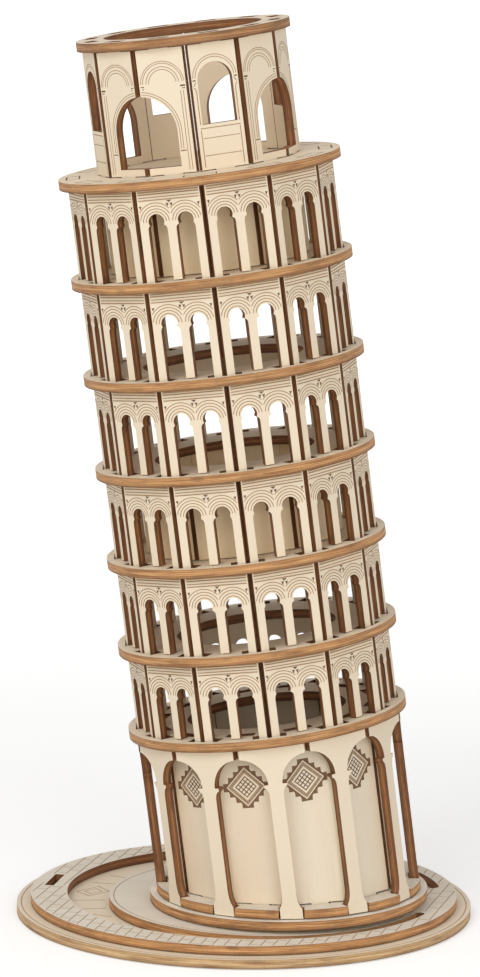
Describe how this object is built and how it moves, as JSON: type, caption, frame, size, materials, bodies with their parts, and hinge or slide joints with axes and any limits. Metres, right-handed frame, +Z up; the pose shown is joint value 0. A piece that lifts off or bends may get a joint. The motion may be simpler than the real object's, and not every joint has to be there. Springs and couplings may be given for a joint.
{
  "type": "leaning tower model",
  "caption": "Leaning round tower souvenir built from slotted laser-cut plywood panels and floor plates on a round paved base",
  "frame": {"origin": "middle of the underside of the round base disc", "axes": "+Z up, front faces -Y, the tower leans towards -X"},
  "size_m": [0.121, 0.121, 0.2386],
  "materials": {
    "face_veneer": "unfinished pale veneer with scorched laser-cut edges",
    "plate_veneer": "unfinished pale veneer with scorched laser-cut edges",
    "inner_veneer": "unfinished pale veneer",
    "base_veneer": "unfinished pale veneer with engraved lines"
  },
  "bodies": {
    "root": {"base_disc": "base_veneer", "belfry_portal_left_1": "face_veneer", "belfry_portal_left_2": "face_veneer", "belfry_portal_left_3": "face_veneer", "belfry_portal_left_4": "face_veneer", "belfry_portal_right_1": "face_veneer", "belfry_portal_right_2": "face_veneer", "belfry_portal_right_3": "face_veneer", "belfry_portal_right_4": "face_veneer", "belfry_window_1": "face_veneer", "belfry_window_2": "face_veneer", "belfry_window_3": "face_veneer", "belfry_window_4": "face_veneer", "floor_plate_1": "plate_veneer", "floor_plate_2": "plate_veneer", "floor_plate_3": "plate_veneer", "floor_plate_4": "plate_veneer", "floor_plate_5": "plate_veneer", "floor_plate_6": "plate_veneer", "floor_plate_7": "plate_veneer", "gallery_arcade_1": "face_veneer", "gallery_arcade_2": "face_veneer", "gallery_arcade_3": "face_veneer", "gallery_arcade_4": "face_veneer", "gallery_arcade_5": "face_veneer", "gallery_arcade_6": "face_veneer", "ground_column_01": "face_veneer", "ground_column_02": "face_veneer", "ground_column_03": "face_veneer", "ground_column_04": "face_veneer", "ground_column_05": "face_veneer", "ground_column_06": "face_veneer", "ground_column_07": "face_veneer", "ground_column_08": "face_veneer", "ground_column_09": "face_veneer", "ground_column_10": "face_veneer", "ground_column_11": "face_veneer", "ground_column_12": "face_veneer", "ground_infill_01": "inner_veneer", "ground_infill_02": "inner_veneer", "ground_infill_03": "inner_veneer", "ground_infill_04": "inner_veneer", "ground_infill_05": "inner_veneer", "ground_infill_06": "inner_veneer", "ground_infill_07": "inner_veneer", "ground_infill_08": "inner_veneer", "ground_infill_09": "inner_veneer", "ground_infill_10": "inner_veneer", "ground_infill_11": "inner_veneer", "ground_infill_12": "inner_veneer", "inner_drum_3": "inner_veneer", "inner_drum_6": "inner_veneer", "paving_plate": "base_veneer", "plinth_collar": "base_veneer", "plinth_disc": "base_veneer", "plinth_rib_back": "inner_veneer", "plinth_rib_front": "inner_veneer", "roof_ring": "plate_veneer"}
  },
  "joints": []
}
